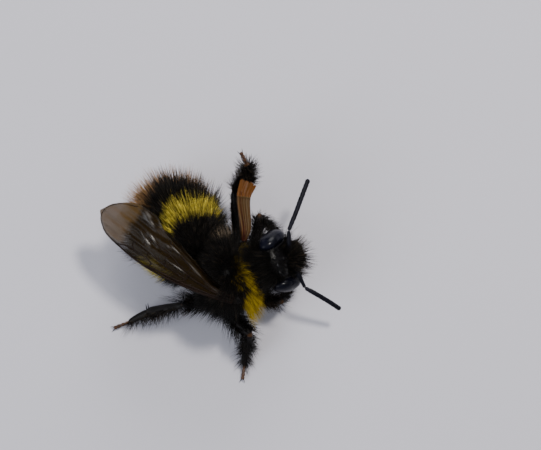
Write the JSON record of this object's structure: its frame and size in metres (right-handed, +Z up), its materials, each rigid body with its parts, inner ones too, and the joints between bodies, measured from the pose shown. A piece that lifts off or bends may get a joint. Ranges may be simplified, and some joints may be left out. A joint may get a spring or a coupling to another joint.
{
  "type": "bumblebee",
  "caption": "Life-size buff-tailed bumblebee queen, standing, with her abdomen curled to the left, a middle leg raised, right wings folded back and left wings crumpled short.",
  "frame": {"origin": "on the floor, under the middle of the bee's bounding box", "axes": "+X the way the thorax faces, +Y the bee's left, +Z up"},
  "size_m": [0.0242, 0.0218, 0.0119],
  "materials": {
    "coat_black": "dense soft black hair",
    "coat_yellow": "dense soft golden-yellow hair",
    "coat_buff": "dense soft buff hair",
    "leg": "shiny black cuticle with fringes of hair",
    "foot": "satin brown cuticle",
    "cuticle": "shiny black cuticle",
    "eye": "glossy blue-black, finely faceted",
    "antenna": "satin blue-black",
    "wing": "smoky brown, clear, with dark veins",
    "wing_crumpled": "orange-brown, pleated, with dark veins"
  },
  "bodies": {
    "root": {"head": "coat_black", "eye_left": "eye", "eye_right": "eye", "mandible_left": "cuticle", "mandible_right": "cuticle", "abdomen_t1": "coat_black", "abdomen_t2": "coat_yellow", "abdomen_t3": "coat_black", "abdomen_t4": "coat_black", "abdomen_tail": "coat_buff", "antenna_flagellum_left": "antenna", "antenna_flagellum_right": "antenna", "antenna_scape_left": "antenna", "antenna_scape_right": "antenna", "collar": "coat_yellow", "leg_fore_left_basitarsus": "leg", "leg_fore_left_femur": "leg", "leg_fore_left_tarsus": "foot", "leg_fore_left_tibia": "leg", "leg_fore_right_basitarsus": "leg", "leg_fore_right_femur": "leg", "leg_fore_right_tarsus": "foot", "leg_fore_right_tibia": "leg", "leg_hind_left_basitarsus": "leg", "leg_hind_left_femur": "leg", "leg_hind_left_tarsus": "foot", "leg_hind_left_tibia": "leg", "leg_hind_right_basitarsus": "leg", "leg_hind_right_femur": "leg", "leg_hind_right_tarsus": "foot", "leg_hind_right_tibia": "leg", "leg_middle_left_basitarsus": "leg", "leg_middle_left_femur": "leg", "leg_middle_left_tarsus": "foot", "leg_middle_left_tibia": "leg", "leg_middle_right_basitarsus": "leg", "leg_middle_right_femur": "leg", "leg_middle_right_tarsus": "foot", "leg_middle_right_tibia": "leg", "thorax": "coat_black", "wing_fore_left": "wing_crumpled", "wing_fore_right": "wing", "wing_hind_left": "wing_crumpled", "wing_hind_right": "wing"}
  },
  "joints": []
}
